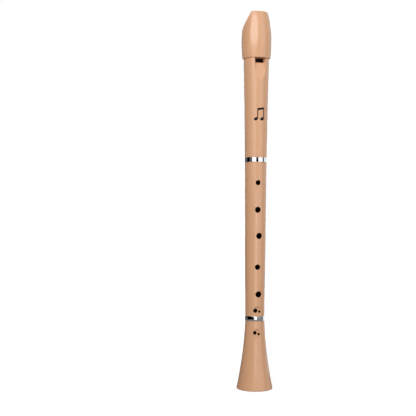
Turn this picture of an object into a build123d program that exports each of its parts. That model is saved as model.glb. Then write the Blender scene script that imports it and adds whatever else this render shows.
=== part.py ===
from build123d import *

import os
from math import cos, radians, sin, tan

# A soprano recorder in three joints, standing on its bell. The air column runs along +Z and the
# bell's rim lies on Z = 0. The finger holes face -Y, with +X to their right. Sizes are in
# millimetres.

# ---------------------------------------------------------------- driving dimensions
LENGTH = 330.0

# Heights of the seams and of the window, from the rim of the bell.
Z_FOOT_TOP = 64.0
Z_HEAD_BOTTOM = 198.7
Z_LABIUM_EDGE = 285.4
Z_CAP_BOTTOM = 289.3

# Ferrules: the rings round the two sockets.
FERRULE_WIDTH = 4.2
FERRULE_GAP = 0.05
HEAD_FERRULE_RADIUS = 9.85
HEAD_SEAT_RADIUS = 9.25
FOOT_FERRULE_RADIUS = 8.68
FOOT_SEAT_RADIUS = 8.05
FERRULE_EDGE = 0.2

# Outside radii of the body at the seams.
HEAD_BOTTOM_RADIUS = 9.7
HEAD_MIDDLE_RADIUS = 10.4
HEAD_TOP_RADIUS = 11.3
MIDDLE_TOP_RADIUS = 9.6
MIDDLE_BOTTOM_RADIUS = 8.5
FOOT_TOP_RADIUS = 8.5
FOOT_WALL_AT_HOLES = 8.95
BELL_WAIST_RADIUS = 11.1
BELL_WAIST_HEIGHT = 28.5
BELL_RIM_RADIUS = 15.95
BELL_EDGE = 0.7

# Bore radii of the air column, which narrows from the head to the bell.
HEAD_BORE = 6.8
MIDDLE_TOP_BORE = 6.3
MIDDLE_BOTTOM_BORE = 5.1
FOOT_BORE = 5.0
BELL_MOUTH_RADIUS = 8.0
BELL_FLARE_HEIGHT = 12.0
BELL_REST_WIDTH = 2.6
BELL_DISH_DEPTH = 1.6

# Tenons, and the cork that seals them in their sockets.
UPPER_TENON_LENGTH = 21.0
UPPER_TENON_RADIUS = 8.1
UPPER_SOCKET_RADIUS = 8.2
UPPER_CORK_LENGTH = 14.0
LOWER_TENON_LENGTH = 11.0
LOWER_TENON_RADIUS = 6.9
LOWER_SOCKET_RADIUS = 7.0
LOWER_CORK_LENGTH = 7.0
CORK_THICKNESS = 0.7
CORK_GAP = 0.04
CORK_EDGE = 0.15
TENON_COLLAR = 3.0
SOCKET_CLEARANCE = 0.5
LEAD_IN = 0.5

# Mouthpiece cap: a barrel that is glued over the head's spigot and cut away behind the lip.
CAP_BOTTOM_RADIUS = 12.3
CAP_WIDEST_RADIUS = 13.3
CAP_WIDEST_HEIGHT = 304.0
CAP_TOP_RADIUS = 10.2
CAP_EDGE = 0.7
LIP_EDGE = 0.8
SPIGOT_RADIUS = 10.6
SPIGOT_LENGTH = 12.0
LIP_THICKNESS = 4.1
BEAK_CUT_BOTTOM = 309.0
BEAK_CUT_HOLLOW = 4.3

# Windway: the flat channel between the cap and the block, and the window that it blows across.
WINDWAY_EXIT_WIDTH = 7.8
WINDWAY_ENTRY_WIDTH = 8.6
WINDWAY_ROOF_EXIT = 8.3
WINDWAY_ROOF_ENTRY = 8.6
WINDWAY_FLOOR_EXIT = 7.2
WINDWAY_FLOOR_ENTRY = 7.4
BLOCK_CHAMFER = 0.6
WINDOW_OUTER_REACH = 13.0
WINDOW_WALL_SLOPE = 32.0
LABIUM_DEPTH = 7.9
LABIUM_BEVEL = 1.3
LABIUM_BEVEL_DEPTH = 0.4
LABIUM_THICKNESS = 0.8
LABIUM_UNDERCUT_LENGTH = 7.0
LABIUM_UNDERCUT_DEPTH = 5.6
RAMP_BOTTOM = 270.1
RAMP_BOTTOM_DEPTH = 10.87

# The head is set turned a little past the line of the finger holes.
HEAD_TURN = 6.5
HEAD_PLAN = Plane.XY.rotated((0, 0, HEAD_TURN))
HEAD_SIDE = Plane.YZ.rotated((0, 0, HEAD_TURN))

# Tone holes: height, degrees round from the front, radius.
FINGER_HOLES = [
    (180.6, 0.0, 2.15),
    (157.0, -0.5, 2.55),
    (134.2, 9.0, 2.65),
    (107.0, 1.0, 2.3),
    (83.2, 8.5, 2.7),
]
THUMB_HOLE = (188.5, 180.0, 2.6)
RIM_ROUND = 0.35

# Double holes: a large and a small hole in one shallow dish.
MIDDLE_DOUBLE = [(69.1, -11.6, 1.9), (68.2, 15.5, 1.15)]
FOOT_DOUBLE = [(49.8, -13.6, 1.6), (48.6, 10.3, 1.1)]
DISH_RADIUS = 3.2
DISH_DEPTH = 0.9
DISH_SLOPE = 45.0


# ---------------------------------------------------------------- shared steps
def wall_plane(height, angle, distance=0.0):
    """A plane that faces outwards at this height, turned by angle from the front towards +X."""
    turn = radians(angle)
    outwards = Vector(sin(turn), -cos(turn), 0)
    return Plane(origin=outwards * distance + Vector(0, 0, height), z_dir=outwards)


def drilled_hole(height, angle, radius):
    """Cuts a round hole through the wall on one side."""
    with BuildSketch(wall_plane(height, angle)) as outline:
        Circle(radius)
    extrude(outline.sketch, amount=BELL_RIM_RADIUS, mode=Mode.SUBTRACT)


def tone_hole(height, angle, radius):
    """Cuts a round hole and rounds its outer rim, which a finger seals."""
    drilled_hole(height, angle, radius)
    outwards = wall_plane(height, angle).z_dir
    rim = edges(Select.LAST).sort_by(Axis((0, 0, height), outwards))[-1]
    fillet(rim, radius=RIM_ROUND)


def double_hole(holes, wall_radius):
    """Cuts the shallow dish that a pair of holes shares, then the two holes."""
    height = sum(hole[0] for hole in holes) / 2
    angle = sum(hole[1] for hole in holes) / 2
    with BuildSketch(wall_plane(height, angle, wall_radius - DISH_DEPTH)) as floor:
        Circle(DISH_RADIUS)
    extrude(floor.sketch, amount=3 * DISH_DEPTH, taper=-DISH_SLOPE, mode=Mode.SUBTRACT)
    for hole in holes:
        drilled_hole(*hole)


def middle_radius(height):
    """The middle joint's outside radius, which tapers evenly between its shoulders."""
    share = (height - Z_FOOT_TOP) / (Z_HEAD_BOTTOM - Z_FOOT_TOP)
    return MIDDLE_BOTTOM_RADIUS + share * (MIDDLE_TOP_RADIUS - MIDDLE_BOTTOM_RADIUS)


def windway_channel(mode):
    """The flat slot from the window to the lip, as deep as the bore's axis."""
    with BuildSketch(HEAD_PLAN.offset(Z_CAP_BOTTOM)) as exit_end:
        with Locations((0, -WINDWAY_ROOF_EXIT / 2)):
            Rectangle(WINDWAY_EXIT_WIDTH, WINDWAY_ROOF_EXIT)
    with BuildSketch(HEAD_PLAN.offset(LENGTH)) as entry_end:
        with Locations((0, -WINDWAY_ROOF_ENTRY / 2)):
            Rectangle(WINDWAY_ENTRY_WIDTH, WINDWAY_ROOF_ENTRY)
    loft([exit_end.sketch, entry_end.sketch], mode=mode)


def window_half_width(depth):
    """Half the window's width at a distance from the axis: its side walls lean outwards."""
    return WINDWAY_EXIT_WIDTH / 2 + (depth - LABIUM_DEPTH) * tan(radians(WINDOW_WALL_SLOPE))


def labium_cut(foot_height, foot_depth, edge_height, edge_depth):
    """Cuts a sloping floor between the window's side walls, from its foot up to its edge."""
    ends = []
    for height, depth in [(foot_height, foot_depth), (edge_height, edge_depth)]:
        floor = window_half_width(depth)
        outer = window_half_width(WINDOW_OUTER_REACH)
        with BuildSketch(HEAD_PLAN.offset(height)) as end:
            with BuildLine():
                Polyline(
                    (-floor, -depth),
                    (floor, -depth),
                    (outer, -WINDOW_OUTER_REACH),
                    (-outer, -WINDOW_OUTER_REACH),
                    close=True,
                )
            make_face()
        ends.append(end.sketch)
    loft(ends, mode=Mode.SUBTRACT)


def ring(inner, outer, bottom, width, edge):
    """Turns a ring about the air column, with its two outer edges rounded."""
    with BuildSketch(Plane.XZ) as section:
        with Locations(((inner + outer) / 2, bottom + width / 2)):
            Rectangle(outer - inner, width)
        fillet(section.vertices().group_by(Axis.X)[-1], radius=edge)
    revolve(section.sketch, axis=Axis.Z)


# ---------------------------------------------------------------- foot joint
with BuildPart() as foot_joint:
    socket_bottom = Z_FOOT_TOP - LOWER_TENON_LENGTH - SOCKET_CLEARANCE
    seat_bottom = Z_FOOT_TOP - FERRULE_WIDTH
    with BuildSketch(Plane.XZ):
        with BuildLine():
            Polyline(
                (BELL_RIM_RADIUS, 0),
                (BELL_RIM_RADIUS - BELL_REST_WIDTH, 0),
                (BELL_MOUTH_RADIUS + 1.2, BELL_DISH_DEPTH - 0.6),
                (BELL_MOUTH_RADIUS, BELL_DISH_DEPTH),
            )
            TangentArc(
                (BELL_MOUTH_RADIUS, BELL_DISH_DEPTH),
                (FOOT_BORE, BELL_FLARE_HEIGHT),
                tangent=(-0.9, 1.6),
            )
            Polyline(
                (FOOT_BORE, BELL_FLARE_HEIGHT),
                (FOOT_BORE, socket_bottom),
                (LOWER_SOCKET_RADIUS, socket_bottom),
                (LOWER_SOCKET_RADIUS, Z_FOOT_TOP - LEAD_IN / 2),
                (LOWER_SOCKET_RADIUS + LEAD_IN / 2, Z_FOOT_TOP),
                (FOOT_SEAT_RADIUS, Z_FOOT_TOP),
                (FOOT_SEAT_RADIUS, seat_bottom),
                (FOOT_TOP_RADIUS - 0.2, seat_bottom),
                (FOOT_TOP_RADIUS, seat_bottom - 0.2),
            )
            ThreePointArc(
                (FOOT_TOP_RADIUS, seat_bottom - 0.2),
                (BELL_WAIST_RADIUS, BELL_WAIST_HEIGHT),
                (BELL_RIM_RADIUS, 0),
            )
        make_face()
    revolve(axis=Axis.Z)
    rest_edges = edges().group_by(Axis.Z)[0]
    fillet(rest_edges.sort_by(SortBy.RADIUS)[-1], radius=BELL_EDGE)
    double_hole(FOOT_DOUBLE, FOOT_WALL_AT_HOLES)

with BuildPart() as foot_ferrule:
    ring(
        FOOT_SEAT_RADIUS + FERRULE_GAP,
        FOOT_FERRULE_RADIUS,
        Z_FOOT_TOP - FERRULE_WIDTH + FERRULE_GAP,
        FERRULE_WIDTH - FERRULE_GAP,
        FERRULE_EDGE,
    )

# ---------------------------------------------------------------- middle joint
lower_tenon_end = Z_FOOT_TOP - LOWER_TENON_LENGTH
upper_tenon_end = Z_HEAD_BOTTOM + UPPER_TENON_LENGTH
lower_cork_top = Z_FOOT_TOP - (LOWER_TENON_LENGTH - LOWER_CORK_LENGTH) / 2
upper_cork_bottom = Z_HEAD_BOTTOM + TENON_COLLAR
lower_cork_radius = LOWER_SOCKET_RADIUS - CORK_GAP
upper_cork_radius = UPPER_SOCKET_RADIUS - CORK_GAP

with BuildPart() as middle_joint:
    with BuildSketch(Plane.XZ):
        with BuildLine():
            Polyline(
                (MIDDLE_BOTTOM_BORE, lower_tenon_end),
                (LOWER_TENON_RADIUS - LEAD_IN, lower_tenon_end),
                (LOWER_TENON_RADIUS, lower_tenon_end + LEAD_IN),
                (LOWER_TENON_RADIUS, lower_cork_top - LOWER_CORK_LENGTH),
                (lower_cork_radius - CORK_THICKNESS, lower_cork_top - LOWER_CORK_LENGTH),
                (lower_cork_radius - CORK_THICKNESS, lower_cork_top),
                (LOWER_TENON_RADIUS, lower_cork_top),
                (LOWER_TENON_RADIUS, Z_FOOT_TOP),
                (MIDDLE_BOTTOM_RADIUS - 0.25, Z_FOOT_TOP),
                (MIDDLE_BOTTOM_RADIUS, Z_FOOT_TOP + 0.25),
                (MIDDLE_TOP_RADIUS, Z_HEAD_BOTTOM - 0.25),
                (MIDDLE_TOP_RADIUS - 0.25, Z_HEAD_BOTTOM),
                (UPPER_TENON_RADIUS, Z_HEAD_BOTTOM),
                (UPPER_TENON_RADIUS, upper_cork_bottom),
                (upper_cork_radius - CORK_THICKNESS, upper_cork_bottom),
                (upper_cork_radius - CORK_THICKNESS, upper_cork_bottom + UPPER_CORK_LENGTH),
                (UPPER_TENON_RADIUS, upper_cork_bottom + UPPER_CORK_LENGTH),
                (UPPER_TENON_RADIUS, upper_tenon_end - LEAD_IN),
                (UPPER_TENON_RADIUS - LEAD_IN, upper_tenon_end),
                (MIDDLE_TOP_BORE, upper_tenon_end),
                close=True,
            )
        make_face()
    revolve(axis=Axis.Z)
    double_hole(MIDDLE_DOUBLE, middle_radius(MIDDLE_DOUBLE[0][0]))
    for hole in [*FINGER_HOLES, THUMB_HOLE]:
        tone_hole(*hole)

with BuildPart() as lower_tenon_cork:
    ring(
        lower_cork_radius - CORK_THICKNESS,
        lower_cork_radius,
        lower_cork_top - LOWER_CORK_LENGTH,
        LOWER_CORK_LENGTH,
        CORK_EDGE,
    )

with BuildPart() as upper_tenon_cork:
    ring(
        upper_cork_radius - CORK_THICKNESS,
        upper_cork_radius,
        upper_cork_bottom,
        UPPER_CORK_LENGTH,
        CORK_EDGE,
    )

# ---------------------------------------------------------------- head joint
with BuildPart() as head_ferrule:
    ring(
        HEAD_SEAT_RADIUS + FERRULE_GAP,
        HEAD_FERRULE_RADIUS,
        Z_HEAD_BOTTOM,
        FERRULE_WIDTH - FERRULE_GAP,
        FERRULE_EDGE,
    )

spigot_top = Z_CAP_BOTTOM + SPIGOT_LENGTH
with BuildPart() as head_tube:
    socket_top = upper_tenon_end + SOCKET_CLEARANCE
    seat_top = Z_HEAD_BOTTOM + FERRULE_WIDTH
    with BuildSketch(Plane.XZ):
        with BuildLine():
            Polyline(
                (HEAD_TOP_RADIUS, Z_CAP_BOTTOM),
                (SPIGOT_RADIUS, Z_CAP_BOTTOM),
                (SPIGOT_RADIUS, spigot_top - LEAD_IN),
                (SPIGOT_RADIUS - LEAD_IN, spigot_top),
                (HEAD_BORE, spigot_top),
                (HEAD_BORE, socket_top),
                (UPPER_SOCKET_RADIUS, socket_top),
                (UPPER_SOCKET_RADIUS, Z_HEAD_BOTTOM + LEAD_IN / 2),
                (UPPER_SOCKET_RADIUS + LEAD_IN / 2, Z_HEAD_BOTTOM),
                (HEAD_SEAT_RADIUS, Z_HEAD_BOTTOM),
                (HEAD_SEAT_RADIUS, seat_top),
                (HEAD_BOTTOM_RADIUS - 0.2, seat_top),
                (HEAD_BOTTOM_RADIUS, seat_top + 0.2),
            )
            ThreePointArc(
                (HEAD_BOTTOM_RADIUS, seat_top + 0.2),
                (HEAD_MIDDLE_RADIUS, (seat_top + Z_CAP_BOTTOM) / 2),
                (HEAD_TOP_RADIUS, Z_CAP_BOTTOM),
            )
        make_face()
    revolve(axis=Axis.Z)
    windway_channel(Mode.SUBTRACT)
    # The window is cut through the front wall.
    with BuildSketch(HEAD_PLAN.offset(Z_LABIUM_EDGE)):
        with Locations((0, -LABIUM_DEPTH / 2)):
            Rectangle(WINDWAY_EXIT_WIDTH, LABIUM_DEPTH)
    extrude(amount=Z_CAP_BOTTOM - Z_LABIUM_EDGE, mode=Mode.SUBTRACT)
    labium_cut(Z_LABIUM_EDGE, LABIUM_DEPTH, Z_CAP_BOTTOM, LABIUM_DEPTH)
    # The labium slopes from its edge out to the surface and past it, and its edge is bevelled.
    ramp_slope = (RAMP_BOTTOM_DEPTH - LABIUM_DEPTH) / (Z_LABIUM_EDGE - RAMP_BOTTOM)
    ramp_start = RAMP_BOTTOM - 5
    labium_cut(ramp_start, RAMP_BOTTOM_DEPTH + 5 * ramp_slope, Z_LABIUM_EDGE, LABIUM_DEPTH)
    bevel_depth = LABIUM_DEPTH + LABIUM_BEVEL * ramp_slope
    bevel_edge_depth = LABIUM_DEPTH - LABIUM_BEVEL_DEPTH
    labium_cut(Z_LABIUM_EDGE - LABIUM_BEVEL, bevel_depth, Z_LABIUM_EDGE, bevel_edge_depth)
    # Under the ramp the wall is flattened, so that it ends in a thin blade.
    with BuildSketch(HEAD_SIDE):
        with BuildLine():
            Polyline(
                (-LABIUM_DEPTH + LABIUM_THICKNESS, Z_LABIUM_EDGE),
                (-LABIUM_UNDERCUT_DEPTH, Z_LABIUM_EDGE - LABIUM_UNDERCUT_LENGTH),
                (0, Z_LABIUM_EDGE - LABIUM_UNDERCUT_LENGTH),
                (0, Z_LABIUM_EDGE),
                close=True,
            )
        make_face()
    extrude(amount=WINDWAY_EXIT_WIDTH / 2, both=True, mode=Mode.SUBTRACT)

# The outside of the mouthpiece, which the cap and the end of the block share.
with BuildPart() as beak_blank:
    with BuildSketch(Plane.XZ) as barrel:
        with BuildLine():
            ThreePointArc(
                (CAP_BOTTOM_RADIUS, Z_CAP_BOTTOM),
                (CAP_WIDEST_RADIUS, CAP_WIDEST_HEIGHT),
                (CAP_TOP_RADIUS, LENGTH),
            )
            Polyline(
                (CAP_TOP_RADIUS, LENGTH),
                (0, LENGTH),
                (0, Z_CAP_BOTTOM),
                (CAP_BOTTOM_RADIUS, Z_CAP_BOTTOM),
            )
        make_face()
    revolve(axis=Axis.Z)
    fillet(beak_blank.edges().group_by(Axis.Z)[0], radius=CAP_EDGE)
    lip_back = Vector(LIP_THICKNESS - CAP_TOP_RADIUS, LENGTH)
    cut_bottom = Vector(CAP_WIDEST_RADIUS + 0.7, BEAK_CUT_BOTTOM)
    across = (cut_bottom - lip_back).normalized()
    hollow = (lip_back + cut_bottom) / 2 + Vector(across.Y, -across.X) * BEAK_CUT_HOLLOW
    with BuildSketch(HEAD_SIDE):
        with BuildLine():
            ThreePointArc(lip_back, hollow, cut_bottom)
            Polyline(
                cut_bottom,
                (2 * CAP_WIDEST_RADIUS, BEAK_CUT_BOTTOM),
                (2 * CAP_WIDEST_RADIUS, LENGTH + 5),
                (lip_back.X, LENGTH + 5),
                lip_back,
            )
        make_face()
    extrude(amount=2 * CAP_WIDEST_RADIUS, both=True, mode=Mode.SUBTRACT)
    lip_edges = faces().sort_by(Axis.Z)[-1].edges()
    cut_edges = faces().sort_by(Axis.Y)[-1].edges()
    fillet(lip_edges + cut_edges, radius=LIP_EDGE)

with BuildPart() as mouthpiece_cap:
    add(beak_blank.part)
    windway_channel(Mode.SUBTRACT)
    with BuildSketch(Plane.XY.offset(Z_CAP_BOTTOM)):
        Circle(HEAD_BORE)
    extrude(amount=LENGTH - Z_CAP_BOTTOM, mode=Mode.SUBTRACT)
    with BuildSketch(Plane.XY.offset(Z_CAP_BOTTOM)):
        Circle(SPIGOT_RADIUS)
    extrude(amount=SPIGOT_LENGTH, mode=Mode.SUBTRACT)

with BuildPart() as windway_block:
    with BuildSketch(Plane.XY.offset(Z_CAP_BOTTOM)):
        Circle(HEAD_BORE)
    extrude(amount=LENGTH - Z_CAP_BOTTOM)
    windway_channel(Mode.ADD)
    with BuildSketch(HEAD_SIDE):
        with BuildLine():
            Polyline(
                (-WINDWAY_FLOOR_EXIT, Z_CAP_BOTTOM + BLOCK_CHAMFER),
                (-WINDWAY_FLOOR_ENTRY, LENGTH),
                (-2 * HEAD_BORE, LENGTH),
                (-2 * HEAD_BORE, Z_CAP_BOTTOM),
                (-WINDWAY_FLOOR_EXIT + BLOCK_CHAMFER, Z_CAP_BOTTOM),
                close=True,
            )
        make_face()
    extrude(amount=HEAD_BORE, both=True, mode=Mode.SUBTRACT)
    add(beak_blank.part, mode=Mode.INTERSECT)

# ---------------------------------------------------------------- writing the pieces
PIECES = {
    "foot_joint": foot_joint,
    "foot_ferrule": foot_ferrule,
    "middle_joint": middle_joint,
    "lower_tenon_cork": lower_tenon_cork,
    "upper_tenon_cork": upper_tenon_cork,
    "head_ferrule": head_ferrule,
    "head_tube": head_tube,
    "mouthpiece_cap": mouthpiece_cap,
    "windway_block": windway_block,
}

os.makedirs("parts", exist_ok=True)
for name, piece in PIECES.items():
    piece.part.label = name
    export_step(piece.part, f"parts/{name}.step")
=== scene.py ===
"""A soprano recorder that stands on its bell on a pale studio floor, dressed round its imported
parts."""

import math

import bpy
import numpy as np
from mathutils import Matrix, Vector


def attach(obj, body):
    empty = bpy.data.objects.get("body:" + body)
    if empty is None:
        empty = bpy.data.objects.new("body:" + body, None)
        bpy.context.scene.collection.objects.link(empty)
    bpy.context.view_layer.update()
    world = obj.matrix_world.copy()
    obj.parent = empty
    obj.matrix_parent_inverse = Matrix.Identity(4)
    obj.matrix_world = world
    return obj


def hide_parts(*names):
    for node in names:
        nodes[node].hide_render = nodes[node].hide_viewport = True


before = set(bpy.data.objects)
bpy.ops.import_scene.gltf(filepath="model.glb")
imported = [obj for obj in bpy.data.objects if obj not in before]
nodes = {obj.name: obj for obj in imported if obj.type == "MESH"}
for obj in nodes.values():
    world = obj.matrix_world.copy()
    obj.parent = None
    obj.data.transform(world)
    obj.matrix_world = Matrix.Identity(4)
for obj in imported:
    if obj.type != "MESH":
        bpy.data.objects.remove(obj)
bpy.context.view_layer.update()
MM = 0.001


def linear(red, green, blue):
    """A colour given in 0 to 255 display steps, as the light that it stands for."""
    steps = np.array([red, green, blue]) / 255.0
    light = np.where(steps <= 0.04045, steps / 12.92, ((steps + 0.055) / 1.055) ** 2.4)
    return (*(float(part) for part in light), 1.0)


def new_object(name, data):
    """An object in the scene that holds this mesh, light or camera."""
    made = bpy.data.objects.new(name, data)
    bpy.context.collection.objects.link(made)
    return made


# ---------------------------------------------------------------- node helpers
# The colour sockets of a Mix node share their names with its other kinds, so they go by number.
MIX_FIRST, MIX_SECOND, MIX_RESULT = 6, 7, 2


def wire(tree, node, sockets):
    """Gives each of these sockets a value, or a link from another socket."""
    for label, value in sockets.items():
        if isinstance(value, bpy.types.NodeSocket):
            tree.links.new(value, node.inputs[label])
        else:
            node.inputs[label].default_value = value


def add(tree, kind, sockets=None, **settings):
    """A node with its settings and its sockets filled."""
    made = tree.nodes.new(kind)
    for label, value in settings.items():
        setattr(made, label, value)
    wire(tree, made, sockets or {})
    return made


def new_effect(name, inputs, outputs):
    """An empty node group, the sockets of its input node, and its output node."""
    group = bpy.data.node_groups.new(name, "ShaderNodeTree")
    for label, (kind, value) in inputs.items():
        socket = group.interface.new_socket(label, in_out="INPUT", socket_type="NodeSocket" + kind)
        socket.default_value = value
    for label, kind in outputs.items():
        group.interface.new_socket(label, in_out="OUTPUT", socket_type="NodeSocket" + kind)
    given = group.nodes.new("NodeGroupInput").outputs
    return group, given, group.nodes.new("NodeGroupOutput")


def use(tree, effect, sockets):
    """The outputs of an effect that is placed in a material with its own values."""
    return add(tree, "ShaderNodeGroup", sockets, node_tree=effect).outputs


def own_place(tree):
    """The shaded point in the object's own metres."""
    return add(tree, "ShaderNodeTexCoord").outputs["Object"]


def spot(tree, cells, stretch=(1, 1, 1), detail=2.0):
    """Noise from 0 to 1, at so many cells a metre, stretched along the axes."""
    scaled = add(tree, "ShaderNodeMapping", {"Vector": own_place(tree), "Scale": stretch})
    sockets = {"Vector": scaled.outputs[0], "Scale": cells, "Detail": detail}
    return add(tree, "ShaderNodeTexNoise", sockets).outputs["Fac"]


def band(tree, value, low, high, at_low=0.0, at_high=1.0):
    """A value that eases from at_low to at_high as the input goes from low to high."""
    sockets = {
        "Value": value, "From Min": low, "From Max": high, "To Min": at_low, "To Max": at_high,
    }
    return add(tree, "ShaderNodeMapRange", sockets, interpolation_type="SMOOTHSTEP").outputs[0]


def compute(tree, operation, first, second=0.0):
    """One step of arithmetic."""
    return add(tree, "ShaderNodeMath", {0: first, 1: second}, operation=operation).outputs[0]


def plus(tree, first, second):
    """The sum of two values."""
    return compute(tree, "ADD", first, second)


def times(tree, first, second):
    """The product of two values."""
    return compute(tree, "MULTIPLY", first, second)


def centred(tree, noise):
    """Noise that swings about nought."""
    return compute(tree, "SUBTRACT", noise, 0.5)


def blend(tree, share, first, second):
    """The colour that lies this share of the way from the first to the second."""
    sockets = {"Factor": share, MIX_FIRST: first, MIX_SECOND: second}
    return add(tree, "ShaderNodeMix", sockets, data_type="RGBA").outputs[MIX_RESULT]


def bumped(tree, height, strength, distance):
    """The normal of a surface that rises and falls by this height."""
    sockets = {"Height": height, "Strength": strength, "Distance": distance}
    return add(tree, "ShaderNodeBump", sockets).outputs[0]


def new_material(name):
    """An empty material with a Principled BSDF joined to its output."""
    material = bpy.data.materials.new(name)
    material.use_nodes = True
    tree = material.node_tree
    return material, tree, tree.nodes["Principled BSDF"]


# ---------------------------------------------------------------- effects
SPECK_BROWN = linear(112, 74, 46)
# Painted shade: the dark brown that fills holes and bores from a depth inwards.
HOLLOW_SHADE_BROWN = linear(46, 25, 15)


def moulded_skin():
    """Moulded plastic: clouds and faint upright flow lines in its tone, sparse dark specks, a fine
    pebbled grain, and the thin line where the halves of the mould met."""
    inputs = {
        "Tint": ("Color", (1, 1, 1, 1)),
        "Mottle": ("Float", 0.05),
        "Gloss": ("Float", 0.2),
        "Speck": ("Float", 0.6),
        "Parting": ("Vector", (0, 1, 0)),
    }
    outputs = {"Color": "Color", "Roughness": "Float", "Height": "Float"}
    group, given, out = new_effect("moulded_skin", inputs, outputs)

    clouds = centred(group, spot(group, cells=55, detail=3.0))
    flow = centred(group, spot(group, cells=1, stretch=(420, 420, 26), detail=2.0))
    tone = plus(group, clouds, times(group, flow, 0.5))
    value = plus(group, times(group, tone, given["Mottle"]), 1.0)
    toned = add(group, "ShaderNodeHueSaturation", {"Value": value, "Color": given["Tint"]})

    place = own_place(group)
    cells = add(group, "ShaderNodeTexVoronoi", {"Vector": place, "Scale": 300.0}).outputs
    near = band(group, cells["Distance"], low=0.03, high=0.08, at_low=1.0, at_high=0.0)
    chance = add(group, "ShaderNodeSeparateColor", {"Color": cells["Color"]}).outputs["Red"]
    chosen = compute(group, "GREATER_THAN", chance, 0.95)
    speck = times(group, times(group, near, chosen), given["Speck"])
    colour = blend(group, speck, toned.outputs[0], SPECK_BROWN)

    worn = times(group, centred(group, spot(group, cells=130, detail=4.0)), 0.12)

    sockets = {0: place, 1: given["Parting"]}
    side = add(group, "ShaderNodeVectorMath", sockets, operation="DOT_PRODUCT").outputs["Value"]
    off_line = compute(group, "ABSOLUTE", side)
    seam = band(group, off_line, low=0.00004, high=0.00018, at_low=0.6, at_high=0.0)
    pebbles = times(group, spot(group, cells=1500, detail=2.0), 0.22)
    waves = times(group, spot(group, cells=170, detail=1.0), 0.5)
    height = plus(group, plus(group, pebbles, waves), seam)

    roughness = plus(group, given["Gloss"], worn)
    wire(group, out, {"Color": colour, "Roughness": roughness, "Height": height})
    return group


def finger_marks():
    """Patches of slightly different roughness, as hands leave them."""
    inputs = {"Roughness": ("Float", 0.1), "Amount": ("Float", 0.05)}
    group, given, out = new_effect("finger_marks", inputs, {"Roughness": "Float"})
    smears = spot(group, cells=210, stretch=(1, 1, 0.6), detail=3.0)
    patches = band(group, smears, low=0.48, high=0.66)
    ridges = spot(group, cells=2600, detail=0.0)
    print_mask = times(group, patches, plus(group, ridges, 0.5))
    extra = times(group, print_mask, given["Amount"])
    wire(group, out, {"Roughness": plus(group, given["Roughness"], extra)})
    return group


def painted_hollow_shade():
    """Painted shade in a hole or a bore: none at the wall's surface, and full from a depth inwards.
    The wall's radius changes evenly with height."""
    inputs = {
        "Tint": ("Color", (1, 1, 1, 1)),
        "Wall": ("Float", 0.009),
        "Taper": ("Float", 0.0),
        "Shallow": ("Float", 0.0003),
        "Deep": ("Float", 0.0011),
    }
    group, given, out = new_effect("painted_hollow_shade", inputs, {"Color": "Color"})
    parts = add(group, "ShaderNodeSeparateXYZ", {"Vector": own_place(group)}).outputs
    flat = add(group, "ShaderNodeCombineXYZ", {"X": parts["X"], "Y": parts["Y"]}).outputs[0]
    reach = add(group, "ShaderNodeVectorMath", {0: flat}, operation="LENGTH").outputs["Value"]
    wall = plus(group, given["Wall"], times(group, given["Taper"], parts["Z"]))
    depth = compute(group, "SUBTRACT", wall, reach)
    dark = band(group, depth, given["Shallow"], given["Deep"])
    wire(group, out, {"Color": blend(group, dark, given["Tint"], HOLLOW_SHADE_BROWN)})
    return group


SKIN, MARKS, SHADE = moulded_skin(), finger_marks(), painted_hollow_shade()


# ---------------------------------------------------------------- finishes
def plastic(name, tint, parting=(0, 1, 0), hollow=None):
    """Satin moulded plastic. Hollow gives the wall's radius and taper in metres, and the depths
    between which a hole or a bore is painted dark, as shade."""
    material, tree, shader = new_material(name)
    # Holes and bores are painted darker with depth, as shade inside them.
    if hollow:
        tint = use(tree, SHADE, {"Tint": tint, **hollow})["Color"]
    skin = use(tree, SKIN, {"Tint": tint, "Mottle": 0.07, "Gloss": 0.16, "Parting": parting})
    handled = use(tree, MARKS, {"Roughness": skin["Roughness"], "Amount": 0.05})
    wire(tree, shader, {
        "Base Color": skin["Color"],
        "Roughness": handled["Roughness"],
        "Normal": bumped(tree, skin["Height"], strength=0.35, distance=0.00002),
        "IOR": 1.53,
    })
    return material


def chrome(name):
    """Bright plating with fine turning lines round it, and finger marks."""
    material, tree, shader = new_material(name)
    lines = spot(tree, cells=1, stretch=(90, 90, 9000), detail=3.0)
    polish = plus(tree, times(tree, centred(tree, lines), 0.04), 0.045)
    handled = use(tree, MARKS, {"Roughness": polish, "Amount": 0.05})
    patches = spot(tree, cells=240, detail=2.0)
    wire(tree, shader, {
        "Base Color": blend(tree, patches, linear(244, 246, 249), linear(230, 232, 236)),
        "Roughness": handled["Roughness"],
        "Normal": bumped(tree, lines, strength=0.05, distance=0.000002),
        "Metallic": 1.0,
    })
    return material


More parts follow.
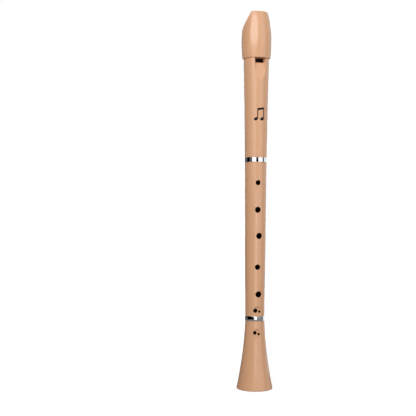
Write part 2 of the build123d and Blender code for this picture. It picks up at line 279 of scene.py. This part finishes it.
def pressed_cork(name):
    """Granules of cork in mixed browns with dark gaps and pores, greased and a little flattened."""
    material, tree, shader = new_material(name)
    place = own_place(tree)
    wobble = add(tree, "ShaderNodeTexNoise", {"Vector": place, "Scale": 700.0, "Detail": 2.0})
    moved = add(
        tree, "ShaderNodeVectorMath",
        {0: wobble.outputs["Color"], 1: (0.0006, 0.0006, 0.0006), 2: place},
        operation="MULTIPLY_ADD",
    )
    cells = {"Vector": moved.outputs[0], "Scale": 850.0}
    granule = add(tree, "ShaderNodeTexVoronoi", cells).outputs
    edge = add(tree, "ShaderNodeTexVoronoi", cells, feature="DISTANCE_TO_EDGE").outputs["Distance"]
    chance = add(tree, "ShaderNodeSeparateColor", {"Color": granule["Color"]}).outputs["Green"]
    browns = add(tree, "ShaderNodeValToRGB", {"Fac": chance})
    stops = browns.color_ramp.elements
    stops[0].color, stops[1].color = linear(150, 104, 66), linear(206, 163, 112)
    stops.new(0.55).color = linear(184, 137, 90)
    gaps = band(tree, edge, low=0.0, high=0.09, at_low=1.0, at_high=0.0)
    pores = band(tree, spot(tree, cells=520, detail=3.0), low=0.64, high=0.70)
    dark = times(tree, compute(tree, "MAXIMUM", gaps, pores), 0.6)
    handled = use(tree, MARKS, {"Roughness": 0.62, "Amount": 0.2})
    height = compute(tree, "SUBTRACT", 1.0, dark)
    wire(tree, shader, {
        "Base Color": blend(tree, dark, browns.outputs[0], linear(92, 58, 34)),
        "Roughness": handled["Roughness"],
        "Normal": bumped(tree, height, strength=0.6, distance=0.00008),
    })
    return material


def printing_ink(name):
    """Black pad printing, slightly thin in places, so that the plastic shows through."""
    material, tree, shader = new_material(name)
    thin = band(tree, spot(tree, cells=2400, detail=3.0), low=0.60, high=0.74)
    shows = times(tree, thin, 0.35)
    wire(tree, shader, {
        "Base Color": blend(tree, shows, linear(14, 11, 10), linear(96, 68, 48)),
        "Roughness": band(tree, thin, low=0.0, high=1.0, at_low=0.5, at_high=0.6),
        "Specular IOR Level": 0.2,
    })
    return material


HEAD_TINT, BODY_TINT = linear(223, 171, 132), linear(222, 170, 131)
HEAD_TURN = math.radians(6.5)
HEAD_PARTING = (-math.sin(HEAD_TURN), math.cos(HEAD_TURN), 0)
# Wall radius, taper, and the depths over which each hole or the bore is painted dark, as shade.
MIDDLE_TAPER = {"Wall": 0.00797, "Taper": 0.0082}
SINGLE_HOLE = {**MIDDLE_TAPER, "Shallow": 0.0003, "Deep": 0.0010}
MIDDLE_PAIR = {**MIDDLE_TAPER, "Shallow": 0.0006, "Deep": 0.0013}
FOOT_PAIR = {"Wall": 0.00895, "Taper": 0.0, "Shallow": 0.0006, "Deep": 0.0013}
BORE = {"Wall": 0.0075, "Taper": 0.0, "Shallow": 0.0, "Deep": 0.0005}
head_plastic = plastic("head_plastic", HEAD_TINT, HEAD_PARTING)
body_plastic = plastic("body_plastic", BODY_TINT)
single_hole_painted_shade_plastic = plastic("tone_hole_painted_shade_plastic", BODY_TINT, hollow=SINGLE_HOLE)
middle_pair_painted_shade_plastic = plastic("middle_pair_painted_shade_plastic", BODY_TINT, hollow=MIDDLE_PAIR)
foot_pair_painted_shade_plastic = plastic("foot_pair_painted_shade_plastic", BODY_TINT, hollow=FOOT_PAIR)
bore_painted_shade_plastic = plastic("bore_painted_shade_plastic", HEAD_TINT, hollow=BORE)
bright = chrome("ferrule_chrome")
cork = pressed_cork("pressed_cork")

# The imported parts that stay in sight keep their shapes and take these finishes.
DRESSED = {
    "mouthpiece_cap": head_plastic,
    "windway_block": head_plastic,
    "upper_tenon_cork": cork,
    "lower_tenon_cork": cork,
}
for node, finish in DRESSED.items():
    nodes[node].data.materials.clear()
    nodes[node].data.materials.append(finish)

# ---------------------------------------------------------------- turning and carving
# Outlines are (radius, height) points in millimetres, and holes are (height, degrees round from
# the front, radius).
TURN_STEPS = 192
RING_SPACING = 2.0
HOLE_STEPS = 72
DRILL_REACH = 20.0
RIM_ROUND = 0.35
RIM_RINGS = 9
DISH_DEPTH, DISH_RADIUS = 0.9, 3.2


def arc_through(start, middle, end, steps):
    """Points along the circle through three (radius, height) points. The centre c solves
    2 c.p + k = p.p at each of them, and the points are spaced evenly by angle."""
    given = np.array([start, middle, end], float)
    rows = np.column_stack([2 * given, np.ones(3)])
    centre = np.linalg.solve(rows, (given**2).sum(axis=1))[:2]
    arms = given - centre
    angles = np.unwrap(np.arctan2(arms[:, 1], arms[:, 0]))
    sweep = np.linspace(angles[0], angles[2], steps + 1)
    return centre + np.hypot(*arms[0]) * np.column_stack([np.cos(sweep), np.sin(sweep)])


def rounded(corner, before, after, radius, steps=12):
    """A corner of an outline as an arc of a circle that touches both of its sides. The circle's
    centre lies on the corner's bisector, at radius over the sine of half the corner."""
    corner, before, after = (np.array(point, float) for point in (corner, before, after))
    back = (before - corner) / np.hypot(*(before - corner))
    ahead = (after - corner) / np.hypot(*(after - corner))
    half = math.acos(float(back @ ahead)) / 2
    reach = radius / math.tan(half)
    bisector = (back + ahead) / np.hypot(*(back + ahead))
    nearest = corner + bisector * (radius / math.sin(half) - radius)
    return arc_through(corner + back * reach, nearest, corner + ahead * reach, steps)


def outline(*runs):
    """One closed outline of (radius, height) points. Each side is divided evenly, so that no ring
    is much taller than RING_SPACING."""
    points = np.vstack([np.array(run, float) for run in runs])
    ahead = np.roll(points, -1, axis=0)
    parts = np.maximum(1, np.ceil(np.abs(ahead - points)[:, 1] / RING_SPACING)).astype(int)
    start = np.repeat(np.arange(len(points)), parts)
    first = np.repeat(np.cumsum(parts) - parts, parts)
    share = (np.arange(parts.sum()) - first) / parts[start]
    return points[start] + share[:, None] * (ahead - points)[start]


def new_mesh(name, points, faces):
    """A mesh from points in millimetres and rows of corners."""
    mesh = bpy.data.meshes.new(name)
    mesh.from_pydata((np.asarray(points) * MM).tolist(), [], faces)
    return mesh


def wrapped_grid(rows, columns, closed_rows):
    """Quads over a grid whose columns join up, and whose rows join up too if closed_rows."""
    row, column = np.meshgrid(
        np.arange(rows if closed_rows else rows - 1), np.arange(columns), indexing="ij"
    )
    next_row, next_column = (row + 1) % rows, (column + 1) % columns
    corners = [
        row * columns + column,
        row * columns + next_column,
        next_row * columns + next_column,
        next_row * columns + column,
    ]
    return np.stack(corners, axis=-1).reshape(-1, 4)


def turned(name, profile, finish, bore_radius=0.0, steps=TURN_STEPS):
    """Turns a closed outline about the air column: the point (r, z) at angle a lies at
    (r cos a, r sin a, z). The outline runs anticlockwise, so that the faces point outwards. Faces
    within bore_radius of the air column take the bore's plastic with painted shade."""
    angle = np.linspace(0, 2 * math.pi, steps, endpoint=False)
    radius, height = profile[:, :1], profile[:, 1:]
    points = np.stack(
        [radius * np.cos(angle), radius * np.sin(angle), height + 0 * angle], axis=-1
    )
    mesh = new_mesh(name, points.reshape(-1, 3), wrapped_grid(len(profile), steps, True).tolist())
    mesh.materials.append(finish)
    # The bore's faces take the plastic with painted shade.
    if bore_radius:
        mesh.materials.append(bore_painted_shade_plastic)
        inside = (profile[:, 0] <= bore_radius) & (np.roll(profile[:, 0], -1) <= bore_radius)
        mesh.polygons.foreach_set("material_index", np.repeat(inside.astype(np.int32), steps))
    return mesh


def capped(rings):
    """The points and faces of a closed block through rings of points, with a flat cap on its first
    ring and on its last."""
    rows, columns = rings.shape[:2]
    faces = wrapped_grid(rows, columns, False).tolist()
    faces += [list(range(columns))[::-1], list(range((rows - 1) * columns, rows * columns))]
    return rings.reshape(-1, 3), faces


def prism(heights, rings):
    """A block through outlines of (across, outwards) points at rising heights, in the head's own
    frame: across runs along the window's edge and outwards through its middle."""
    rings = np.array(rings, float)
    across, outwards = rings[..., 0], rings[..., 1]
    heights = np.array(heights)[:, None] + 0 * across
    sine, cosine = math.sin(HEAD_TURN), math.cos(HEAD_TURN)
    points = np.stack(
        [across * cosine + outwards * sine, across * sine - outwards * cosine, heights], axis=-1
    )
    return capped(points)


def round_the_hole():
    """Angles round a tone hole, starting across the wall."""
    return np.linspace(0, 2 * math.pi, HOLE_STEPS, endpoint=False)


def plunge(height, angle, reach, radius_at):
    """A cutter along a tone hole. Its rings lie at the distances in reach from the air column,
    which may differ round the hole, and radius_at gives each ring's radius. The hole's own angle a
    puts a point at radius times (cos a, sin a) across and along the wall."""
    turn = math.radians(angle)
    sideways = radius_at[:, None] * np.cos(round_the_hole())
    upwards = radius_at[:, None] * np.sin(round_the_hole())
    points = np.stack(
        [
            reach * math.sin(turn) + sideways * math.cos(turn),
            -reach * math.cos(turn) + sideways * math.sin(turn),
            height + upwards,
        ],
        axis=-1,
    )
    return capped(points)


def drill(height, angle, radius):
    """A straight cutter from the air column outwards."""
    reach = np.array([[0.0], [DRILL_REACH]]) + np.zeros(HOLE_STEPS)
    return plunge(height, angle, reach, np.array([radius, radius]))


def rim_drill(height, angle, radius, wall_at):
    """A cutter that also rounds the rim. Beyond the wall's surface, sqrt(R^2 - x^2) from the air
    column at x across, it widens by a quarter of a circle of radius RIM_ROUND."""
    quarter = np.linspace(0, math.pi / 2, RIM_RINGS)
    wide = radius + RIM_ROUND
    wall = wall_at(height + wide * np.sin(round_the_hole()))
    surface = np.sqrt(wall**2 - (wide * np.cos(round_the_hole())) ** 2)
    arc = surface - RIM_ROUND + RIM_ROUND * np.sin(quarter)[:, None]
    reach = np.vstack([0 * surface, arc, DRILL_REACH + 0 * surface])
    radii = np.concatenate([[radius], wide - RIM_ROUND * np.cos(quarter), [wide]])
    return plunge(height, angle, reach, radii)


def shared_dish(large, small, wall):
    """A cutter for the shallow dish midway between a large and a small hole, with sides at 45
    degrees. It starts below the wall's surface and ends twice its depth above."""
    height, angle = (large[0] + small[0]) / 2, (large[1] + small[1]) / 2
    reach = np.array([[wall - DISH_DEPTH], [wall + 2 * DISH_DEPTH]]) + np.zeros(HOLE_STEPS)
    radii = np.array([DISH_RADIUS, DISH_RADIUS + 3 * DISH_DEPTH])
    return plunge(height, angle, reach, radii)


def carved(name, blank, rounds):
    """The blank with every cutter's volume taken out of it. Each round has the finish of its cut
    faces, and cutters that stand clear of each other, which go in together."""
    holder = new_object(name, blank)
    tools = []
    for finish, cutters in rounds:
        first = np.cumsum([0] + [len(points) for points, _ in cutters])
        faces = [
            [start + corner for corner in face]
            for start, (_, block) in zip(first, cutters) for face in block
        ]
        mesh = new_mesh("cutters", np.vstack([points for points, _ in cutters]), faces)
        mesh.materials.append(finish)
        tools.append(new_object("cutters", mesh))
        cut = holder.modifiers.new("cut", "BOOLEAN")
        cut.operation = "DIFFERENCE"
        cut.solver = "EXACT"
        cut.material_mode = "TRANSFER"
        cut.object = tools[-1]
    bpy.context.view_layer.update()
    graph = bpy.context.evaluated_depsgraph_get()
    mesh = bpy.data.meshes.new_from_object(holder.evaluated_get(graph))
    for extra in [holder, *tools]:
        bpy.data.objects.remove(extra)
    return mesh


def fit(name, mesh, node, body, sharp_from):
    """Puts a finished mesh in the place of a CAD node, with creases where it turns sharply."""
    mesh.polygons.foreach_set("use_smooth", np.ones(len(mesh.polygons), bool))
    mesh.set_sharp_from_angle(angle=math.radians(sharp_from))
    piece = new_object(name, mesh)
    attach(piece, body)
    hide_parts(node)


# ---------------------------------------------------------------- head tube
HEAD_OUTSIDE = [(9.7, 203.1), (10.4, 246.1), (11.3, 289.3)]
HEAD_CURVE = arc_through(*HEAD_OUTSIDE, 44)
HEAD_SPIGOT = [(10.6, 289.3), (10.6, 300.8), (10.1, 301.3)]
HEAD_BORE = [(6.8, 301.3), (6.8, 220.2)]
HEAD_SOCKET = [(8.2, 220.2), (8.2, 198.95), (8.45, 198.7)]
HEAD_RING_SEAT = [(9.25, 198.7), (9.25, 202.9), (9.5, 202.9)]
HEAD_BORE_LIMIT = 6.85
HEAD_STEPS = 288

# The window is cut with sloping sides down to the labium, a ramp that ends in a thin blade.
WINDOW_HALF_WIDTH = 3.9
WINDOW_EDGE = 285.4
WINDOW_TOP = 289.3
WINDOW_REACH = 13.0
WINDOW_LEAN = math.tan(math.radians(32.0))
LABIUM_DEPTH = 7.9
RAMP_FOOT = (10.87, 270.1)
RAMP_SLOPE = (RAMP_FOOT[0] - LABIUM_DEPTH) / (WINDOW_EDGE - RAMP_FOOT[1])
RAMP_LENGTH = 20
BEVEL_LENGTH = 1.3
BEVEL_EDGE_DEPTH = 7.49
UNDERCUT_LENGTH = 7
UNDERCUT_DEPTHS = (5.6, 7.1)
WINDWAY_EXIT_ROOF = 8.3
WINDWAY_ENTRY = 330
WINDWAY_ENTRY_HALF_WIDTH, WINDWAY_ENTRY_ROOF = 4.3, 8.6
# Cutters overlap by SPARE, and by SIDE_SPARE where their walls would share a plane.
SPARE = 0.05
SIDE_SPARE = 0.02


def window_section(depth):
    """The cutter's outline above a sloping floor at this distance from the air column, between
    the window's leaning side walls."""
    floor = WINDOW_HALF_WIDTH + (depth - LABIUM_DEPTH) * WINDOW_LEAN
    outer = WINDOW_HALF_WIDTH + (WINDOW_REACH - LABIUM_DEPTH) * WINDOW_LEAN
    return [(-floor, depth), (-outer, WINDOW_REACH), (outer, WINDOW_REACH), (floor, depth)]


def box_section(half_width, depth):
    """The outline of a straight cutter from the air column out to this depth."""
    return [(-half_width, 0), (-half_width, depth), (half_width, depth), (half_width, 0)]


def head_tube_wall():
    """The head's wall with its socket, its spigot and the window over the labium."""
    wall = outline(HEAD_CURVE, HEAD_SPIGOT, HEAD_BORE, HEAD_SOCKET, HEAD_RING_SEAT)
    half = WINDOW_HALF_WIDTH
    wide = half + SIDE_SPARE
    opening = [
        (-wide, 0), (-wide, LABIUM_DEPTH), *window_section(LABIUM_DEPTH)[1:3],
        (wide, LABIUM_DEPTH), (wide, 0),
    ]
    ramp = [
        window_section(LABIUM_DEPTH + RAMP_LENGTH * RAMP_SLOPE),
        window_section(LABIUM_DEPTH + BEVEL_LENGTH * RAMP_SLOPE),
        window_section(BEVEL_EDGE_DEPTH),
    ]
    undercut = [box_section(half, depth) for depth in UNDERCUT_DEPTHS]
    windway = [
        box_section(half, WINDWAY_EXIT_ROOF),
        box_section(WINDWAY_ENTRY_HALF_WIDTH, WINDWAY_ENTRY_ROOF),
    ]
    top = WINDOW_EDGE + SPARE
    rounds = [
        (head_plastic, [prism([WINDOW_EDGE, WINDOW_TOP], [opening, opening])]),
        (head_plastic, [prism([WINDOW_EDGE - RAMP_LENGTH, WINDOW_EDGE - BEVEL_LENGTH, top], ramp)]),
        # The undercut and the windway take the plastic with painted shade on faces near the air
        # column.
        (bore_painted_shade_plastic, [
            prism([WINDOW_EDGE - UNDERCUT_LENGTH, top], undercut),
            prism([WINDOW_TOP - SPARE, WINDWAY_ENTRY], windway),
        ]),
    ]
    blank = turned("head_blank", wall, head_plastic, HEAD_BORE_LIMIT, HEAD_STEPS)
    return carved("head_tube_wall", blank, rounds)


# ---------------------------------------------------------------- middle joint
MIDDLE_OUTSIDE = [(8.5, 64.25), (9.6, 198.45)]
UPPER_TENON = [(9.35, 198.7), (8.1, 198.7), (8.1, 201.7)]
UPPER_CORK_SEAT = [(7.46, 201.7), (7.46, 215.7)]
UPPER_TENON_END = [(8.1, 215.7), (8.1, 219.2), (7.6, 219.7)]
MIDDLE_BORE = [(6.3, 219.7), (5.1, 53.0)]
LOWER_TENON_END = [(6.4, 53.0), (6.9, 53.5), (6.9, 55.0)]
LOWER_CORK_SEAT = [(6.26, 55.0), (6.26, 62.0)]
LOWER_TENON = [(6.9, 62.0), (6.9, 64.0), (8.25, 64.0)]
MIDDLE_BORE_LIMIT = 6.35
# Five holes for the fingers, and one at the back for the thumb.
SINGLE_HOLES = [
    (180.6, 0.0, 2.15),
    (157.0, -0.5, 2.55),
    (134.2, 9.0, 2.65),
    (107.0, 1.0, 2.3),
    (83.2, 8.5, 2.7),
    (188.5, 180.0, 2.6),
]
MIDDLE_LARGE, MIDDLE_SMALL = (69.1, -11.6, 1.9), (68.2, 15.5, 1.15)


def middle_wall_at(height):
    """The middle joint's radius, which grows evenly with height."""
    (low_radius, low), (high_radius, high) = MIDDLE_OUTSIDE
    return low_radius + (height - low) * (high_radius - low_radius) / (high - low)


def middle_joint_wall():
    """The middle joint's wall, with a tenon and a cork's seat at each end, and its tone holes."""
    wall = outline(
        MIDDLE_OUTSIDE,
        UPPER_TENON, UPPER_CORK_SEAT, UPPER_TENON_END,
        MIDDLE_BORE,
        LOWER_TENON_END, LOWER_CORK_SEAT, LOWER_TENON,
    )
    rounds = [
        (body_plastic, [shared_dish(MIDDLE_LARGE, MIDDLE_SMALL, middle_wall_at(MIDDLE_LARGE[0]))]),
        (middle_pair_painted_shade_plastic, [drill(*MIDDLE_LARGE)]),
        (middle_pair_painted_shade_plastic, [drill(*MIDDLE_SMALL)]),
        (single_hole_painted_shade_plastic, [rim_drill(*hole, middle_wall_at) for hole in SINGLE_HOLES]),
    ]
    blank = turned("middle_blank", wall, body_plastic, MIDDLE_BORE_LIMIT)
    return carved("middle_joint_wall", blank, rounds)


# ---------------------------------------------------------------- foot joint
BELL_OUTSIDE = [(15.95, 0.0), (11.1, 28.5), (8.5, 59.6)]
BELL_MOUTH = [(5.0, 12.0), (5.89, 6.62), (8.0, 1.6)]
BELL_REST = [(9.2, 1.0), (13.35, 0.0)]
BELL_EDGE = 0.7
FOOT_RING_SEAT = [(8.3, 59.8), (8.05, 59.8), (8.05, 64.0)]
FOOT_SOCKET = [(7.25, 64.0), (7.0, 63.75), (7.0, 52.5)]
FOOT_BORE_TOP = [(5.0, 52.5)]
FOOT_BORE_LIMIT = 5.05
FOOT_WALL = 8.95
FOOT_LARGE, FOOT_SMALL = (49.8, -13.6, 1.6), (48.6, 10.3, 1.1)


def foot_joint_wall():
    """The bell with its rounded rim, its flared mouth, its socket and its double hole."""
    bell = arc_through(*BELL_OUTSIDE, 32)
    wall = outline(
        rounded(BELL_OUTSIDE[0], BELL_REST[-1], bell[1], BELL_EDGE),
        bell[1:],
        FOOT_RING_SEAT,
        FOOT_SOCKET,
        FOOT_BORE_TOP,
        arc_through(*BELL_MOUTH, 12),
        BELL_REST,
    )
    rounds = [
        (body_plastic, [shared_dish(FOOT_LARGE, FOOT_SMALL, FOOT_WALL)]),
        (foot_pair_painted_shade_plastic, [drill(*FOOT_LARGE)]),
        (foot_pair_painted_shade_plastic, [drill(*FOOT_SMALL)]),
    ]
    blank = turned("foot_blank", wall, body_plastic, FOOT_BORE_LIMIT)
    return carved("foot_joint_wall", blank, rounds)


# ---------------------------------------------------------------- ferrules
FERRULE_EDGE = 0.2


def ferrule_band(name, inner, outer, bottom, top):
    """A plated ring with its two outer edges rounded."""
    low, high = (outer, bottom), (outer, top)
    section = outline(
        rounded(low, (inner, bottom), high, FERRULE_EDGE),
        rounded(high, low, (inner, top), FERRULE_EDGE),
        [(inner, top), (inner, bottom)],
    )
    return turned(name, section, bright)


# Degrees from which an edge stays sharp. The labium's bevel is a shallow one.
CREASE = 12
LABIUM_CREASE = 6
head_ferrule_mesh = ferrule_band("head_ferrule_band", 9.3, 9.85, 198.7, 202.85)
foot_ferrule_mesh = ferrule_band("foot_ferrule_band", 8.1, 8.68, 59.85, 64.0)
fit("head_tube_wall", head_tube_wall(), "head_tube", "head", LABIUM_CREASE)
fit("middle_joint_wall", middle_joint_wall(), "middle_joint", "middle", CREASE)
fit("foot_joint_wall", foot_joint_wall(), "foot_joint", "foot", CREASE)
fit("head_ferrule_band", head_ferrule_mesh, "head_ferrule", "head_ring", CREASE)
fit("foot_ferrule_band", foot_ferrule_mesh, "foot_ferrule", "foot_ring", CREASE)


# ---------------------------------------------------------------- printed mark
# Places on the mark are (across, up) millimetres from its middle.
MARK_TURN = math.radians(3)
MARK_HEIGHT = 240.5
NOTE_LEAN = math.radians(22)
NOTE_CENTRES = (-3.1, 2.5)
NOTE_UP = -4.4
NOTE_HALF_LENGTH, NOTE_HALF_HEIGHT = 1.85, 1.35
STEM_WIDTH = 0.75
# Each stem: left edge, bottom and top.
STEMS = ((-2.0, -4.0, 4.2), (3.6, -4.0, 5.1))
BEAM_LEFT, BEAM_RIGHT = -2.0, 4.35
BEAM_UP, BEAM_RISE, BEAM_HEIGHT = 2.9, 0.16, 1.9
# The patches lie one on another in thin steps.
INK_LIFT, INK_STEP = 0.02, 0.003
INK_THICKNESS = 0.03


def note_mark():
    """Two plain music notes under one beam. Every patch is a grid in (across, up) millimetres, and
    across / radius is its angle round the head's wall."""
    steps = np.linspace(0, 2 * math.pi, 33)[:-1]
    patches = []
    for centre in NOTE_CENTRES:
        rings = np.linspace(0.02, 1, 5)[:, None]
        along = NOTE_HALF_LENGTH * rings * np.cos(steps)
        up = NOTE_HALF_HEIGHT * rings * np.sin(steps)
        across = centre + along * math.cos(NOTE_LEAN) - up * math.sin(NOTE_LEAN)
        rise = NOTE_UP + along * math.sin(NOTE_LEAN) + up * math.cos(NOTE_LEAN)
        patches.append((across, rise, True))
    for left, low, high in STEMS:
        across, rise = np.meshgrid(
            np.linspace(left, left + STEM_WIDTH, 3), np.linspace(low, high, 9)
        )
        patches.append((across, rise, False))
    across, share = np.meshgrid(np.linspace(BEAM_LEFT, BEAM_RIGHT, 9), np.linspace(0, 1, 4))
    beam = BEAM_UP + BEAM_RISE * (across - BEAM_LEFT) + BEAM_HEIGHT * share
    patches.append((across, beam, False))

    points, faces, start = [], [], 0
    for layer, (across, rise, round_patch) in enumerate(patches):
        z = MARK_HEIGHT + rise
        wall = np.interp(z, HEAD_CURVE[:, 1], HEAD_CURVE[:, 0])
        radius = wall + INK_LIFT + INK_STEP * layer
        angle = MARK_TURN + across / radius
        patch = np.stack([radius * np.sin(angle), -radius * np.cos(angle), z], axis=-1)
        rows, columns = across.shape
        grid = wrapped_grid(rows, columns, False)
        if round_patch:
            faces.append(list(range(start, start + columns)))
            grid = grid[:, ::-1]
        else:
            grid = grid.reshape(rows - 1, columns, 4)[:, :-1].reshape(-1, 4)
        faces += (grid + start).tolist()
        points.append(patch.reshape(-1, 3))
        start += rows * columns
    return new_mesh("head_mark", np.vstack(points), faces)


mark_mesh = note_mark()
mark_mesh.materials.append(printing_ink("printing_ink"))
mark = new_object("head_mark", mark_mesh)
ink = mark.modifiers.new("ink", "SOLIDIFY")
ink.thickness = INK_THICKNESS * MM
ink.offset = -1
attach(mark, "head")

# ---------------------------------------------------------------- studio
# The camera stands level, a little to the recorder's left, and looks past it.
EYE_TURN = math.radians(11.0)
EYE_DISTANCE = 0.7398
EYE_HEIGHT = 0.1583
SIDE_STEP = 0.0418
ROLL = math.radians(0.34)
SENSOR = 36.0
LENS = 72.69
NEAREST, FARTHEST = 0.01, 50
# Lights and cards are placed by their bearing from the line between recorder and camera.
SIGHT_TURN = EYE_TURN + math.atan2(SIDE_STEP, EYE_DISTANCE)
LIGHT_DISTANCE = 1.0
CARD_COLUMNS = 13

FLOOR_RADIUS = 6
FLOOR_CORNERS = 96
# The floor's glow grows from a dim to a full white between these distances from the recorder.
GLOW_NEAR, GLOW_FAR = 0.05, 0.6
GLOW_DIM, GLOW_FULL = 0.72, 1.0
PAPER = (0.45, 0.45, 0.45, 1)
DULL_PAPER = (0.3, 0.3, 0.3, 1)
ROOM_LIGHT = 0.14

# Each softbox: bearings in degrees, heights in metres, and radiance.
SOFTBOXES = {
    "key_upper": (-48, 12, 0.46, 1.10, 4.4),
    "key_lower": (-34, 4, 0.19, 0.50, 1.5),
    "low_strip": (-2, 24, 0.0, 0.16, 3.0),
    "right_fill": (26, 74, 0.0, 1.1, 1.1),
    "back_right": (95, 150, 0.0, 1.1, 0.85),
    "back_left": (-150, -108, 0.3, 1.1, 0.3),
    "back": (164, 196, 0.1, 1.1, 3.4),
}
# Each card: bearings in degrees, heights and distance in metres, and radiance.
CARDS = {
    "black_card_low_left": (-98, -14, 0.0, 0.15, 0.40, 0.0),
    "white_card_low": (-4, 23, 0.0, 0.06, 0.40, 1.5),
    "black_card_left": (-100, -64, 0.0, 1.0, 0.90, 0.0),
    "black_card_right": (6, 27, 0.20, 0.45, 0.90, 0.0),
    "white_card_back_right": (114, 150, 0.0, 0.11, 0.16, 1.1),
    "black_card_back": (158, 174, 0.0, 0.11, 0.16, 0.0),
    "white_card_back": (178, 200, 0.0, 0.05, 0.16, 1.3),
    "black_card_back_left": (-154, -114, 0.0, 0.12, 0.16, 0.0),
}


def level_turn(direction):
    """The turn that points a light or a camera this way and keeps it upright."""
    return direction.to_track_quat("-Z", "Y").to_matrix().to_4x4()


def studio_camera():
    """A level long lens, rolled a hair so that the recorder leans a little to the right."""
    lens = bpy.data.cameras.new("camera")
    lens.sensor_width = SENSOR
    lens.lens = LENS
    lens.clip_start = NEAREST
    lens.clip_end = FARTHEST
    camera = new_object("camera", lens)
    forward = Vector((math.sin(EYE_TURN), math.cos(EYE_TURN), 0))
    right = Vector((math.cos(EYE_TURN), -math.sin(EYE_TURN), 0))
    place = -forward * EYE_DISTANCE - right * SIDE_STEP + Vector((0, 0, EYE_HEIGHT))
    roll = Matrix.Rotation(ROLL, 4, "Z")
    camera.matrix_world = Matrix.Translation(place) @ level_turn(forward) @ roll
    bpy.context.scene.camera = camera


def softbox(name, low_degrees, high_degrees, low_height, high_height, radiance):
    """A rectangular light between two bearings and two heights. Its power is its radiance times pi
    times its area."""
    turn = math.radians((low_degrees + high_degrees) / 2) - SIGHT_TURN
    width = 2 * LIGHT_DISTANCE * math.tan(math.radians(high_degrees - low_degrees) / 2)
    height = high_height - low_height
    inwards = Vector((-math.sin(turn), math.cos(turn), 0))
    place = -inwards * LIGHT_DISTANCE + Vector((0, 0, (low_height + high_height) / 2))
    light = bpy.data.lights.new(name, "AREA")
    light.shape = "RECTANGLE"
    light.size = width
    light.size_y = height
    light.energy = radiance * math.pi * width * height
    holder = new_object(name, light)
    holder.matrix_world = Matrix.Translation(place) @ level_turn(inwards)


def reflection_card(name, low_degrees, high_degrees, low_height, high_height, distance, radiance):
    """A curved card that only reflections show. The point at bearing a and height z lies at
    (d sin a, -d cos a, z), where d is the card's distance."""
    turns = np.linspace(low_degrees, high_degrees, CARD_COLUMNS)
    heights = np.array([low_height, high_height])
    turn, height = np.meshgrid(np.radians(turns) - SIGHT_TURN, heights, indexing="ij")
    points = np.stack([np.sin(turn) * distance, -np.cos(turn) * distance, height], axis=-1)
    first = np.arange(CARD_COLUMNS - 1) * 2
    faces = np.stack([first, first + 1, first + 3, first + 2], axis=1)
    mesh = new_mesh(name, points.reshape(-1, 3) / MM, faces.tolist())
    material, tree, shader = new_material(name)
    wire(tree, shader, {
        "Base Color": (0, 0, 0, 1),
        "Specular IOR Level": 0,
        "Emission Color": (1, 1, 1, 1),
        "Emission Strength": radiance,
    })
    mesh.materials.append(material)
    card = new_object(name, mesh)
    card.visible_camera = False
    card.visible_diffuse = False
    card.visible_shadow = False


def studio_floor():
    """A wide disc of pale paper. The camera sees it glow a little, and fully white far from the
    recorder, and other rays see a duller paper, so that it bounces little light."""
    steps = np.linspace(0, 2 * math.pi, FLOOR_CORNERS, endpoint=False)
    ring = np.stack([np.cos(steps), np.sin(steps), np.zeros_like(steps)], axis=1)
    mesh = new_mesh("studio_floor", ring * FLOOR_RADIUS / MM, [list(range(FLOOR_CORNERS))])
    floor = new_object("studio_floor", mesh)
    material = bpy.data.materials.new("floor_paper")
    material.use_nodes = True
    tree = material.node_tree
    tree.nodes.clear()
    place = own_place(tree)
    reach = add(tree, "ShaderNodeVectorMath", {0: place}, operation="LENGTH").outputs["Value"]
    strength = band(tree, reach, GLOW_NEAR, GLOW_FAR, GLOW_DIM, GLOW_FULL)
    shine = add(tree, "ShaderNodeEmission", {"Strength": strength}).outputs[0]
    paper = add(tree, "ShaderNodeBsdfDiffuse", {"Color": PAPER}).outputs[0]
    seen = add(tree, "ShaderNodeAddShader", {0: shine, 1: paper}).outputs[0]
    bounced = add(tree, "ShaderNodeBsdfDiffuse", {"Color": DULL_PAPER}).outputs[0]
    by_ray(tree, "ShaderNodeOutputMaterial", bounced, seen)
    mesh.materials.append(material)


def by_ray(tree, output, for_others, for_camera):
    """Sends one shader to the camera's rays and another to all others."""
    path = add(tree, "ShaderNodeLightPath").outputs["Is Camera Ray"]
    mix = add(tree, "ShaderNodeMixShader", {0: path, 1: for_others, 2: for_camera})
    add(tree, output, {0: mix.outputs[0]})


def studio_world():
    """Plain white to the eye, a dim grey room to everything else."""
    world = bpy.data.worlds.new("studio")
    bpy.context.scene.world = world
    world.use_nodes = True
    tree = world.node_tree
    tree.nodes.clear()
    white = (1, 1, 1, 1)
    room = add(tree, "ShaderNodeBackground", {"Color": white, "Strength": ROOM_LIGHT}).outputs[0]
    bright_white = add(tree, "ShaderNodeBackground", {"Color": white, "Strength": 1.0}).outputs[0]
    by_ray(tree, "ShaderNodeOutputWorld", room, bright_white)


studio_camera()
studio_floor()
studio_world()
for name, place in SOFTBOXES.items():
    softbox(name, *place)
for name, place in CARDS.items():
    reflection_card(name, *place)
bpy.context.scene.view_settings.view_transform = "Standard"
